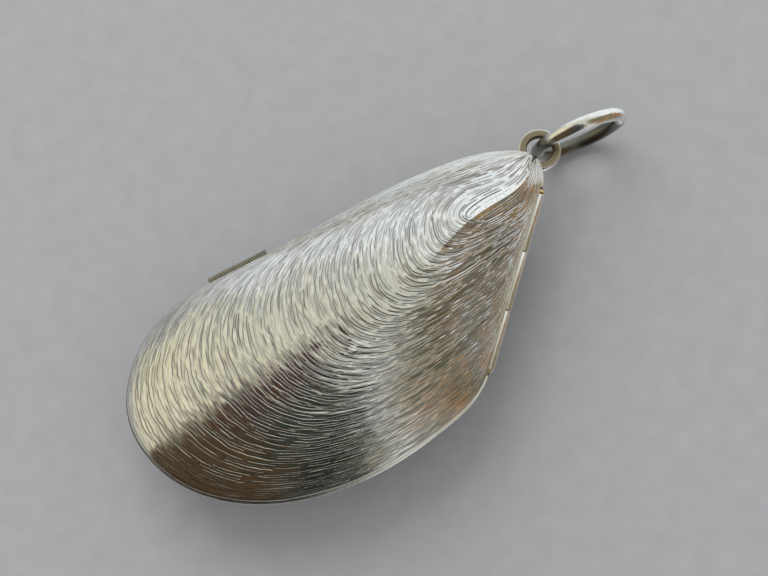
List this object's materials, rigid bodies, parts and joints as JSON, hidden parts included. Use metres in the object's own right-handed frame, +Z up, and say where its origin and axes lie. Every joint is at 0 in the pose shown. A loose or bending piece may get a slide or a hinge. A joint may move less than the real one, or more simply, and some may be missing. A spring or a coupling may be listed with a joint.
{
  "type": "vinaigrette",
  "caption": "Small silver box in the form of a mussel shell, with a hinged lid, a pierced grille over a sponge, and a suspension ring.",
  "frame": {"origin": "centre of the small flat worn on the belly of the base, which rests on the table", "axes": "+X along the shell toward the pointed tip and the ring, +Y to the ventral side with the thumbpiece, +Z up through the lid"},
  "size_m": [0.0538, 0.0235, 0.013],
  "materials": {
    "silver": "polished silver, hand engraved, tarnish in the cuts",
    "tarnished_silver": "worn silver with a brownish tarnish",
    "gilt": "gilded silver, softly polished",
    "sponge": "matte natural sponge"
  },
  "bodies": {
    "base": {"base_shell": "silver", "base_knuckle_1": "tarnished_silver", "base_knuckle_2": "tarnished_silver", "hinge_pin": "gilt", "base_hinge_bearer": "silver", "base_bezel": "gilt", "grille_ledge": "gilt", "grille_base_knuckle_1": "gilt", "grille_base_knuckle_2": "gilt", "grille_pin": "gilt", "sponge": "sponge", "suspension_eye": "tarnished_silver"},
    "lid": {"lid_shell": "silver", "lid_knuckle_1": "silver", "lid_hinge_bearer": "silver", "thumbpiece": "silver"},
    "grille": {"grille_plate": "gilt", "grille_leaf_knuckle": "gilt", "grille_lift": "gilt"},
    "ring": {"suspension_ring": "tarnished_silver"}
  },
  "joints": [
    {"name": "lid_hinge", "type": "hinge", "parent": "base", "child": "lid", "pos_m": [0.02013, 0.00074, 0.0064], "axis": [0.81, 0.5864, 0], "range_deg": [0, 100]},
    {"name": "grille_hinge", "type": "hinge", "parent": "base", "child": "grille", "pos_m": [0.01904, 0.00224, 0.00629], "axis": [0.81, 0.5864, 0], "range_deg": [0, 65]},
    {"name": "ring_swing", "type": "hinge", "parent": "base", "child": "ring", "pos_m": [0.02377, 0.00346, 0.00599], "axis": [-0.2574, -0.9606, -0.1045], "range_deg": [-25, 65]}
  ],
  "couplings": [
    {"joint": "grille_hinge", "follows": "lid_hinge", "ratio": 0.65}
  ]
}
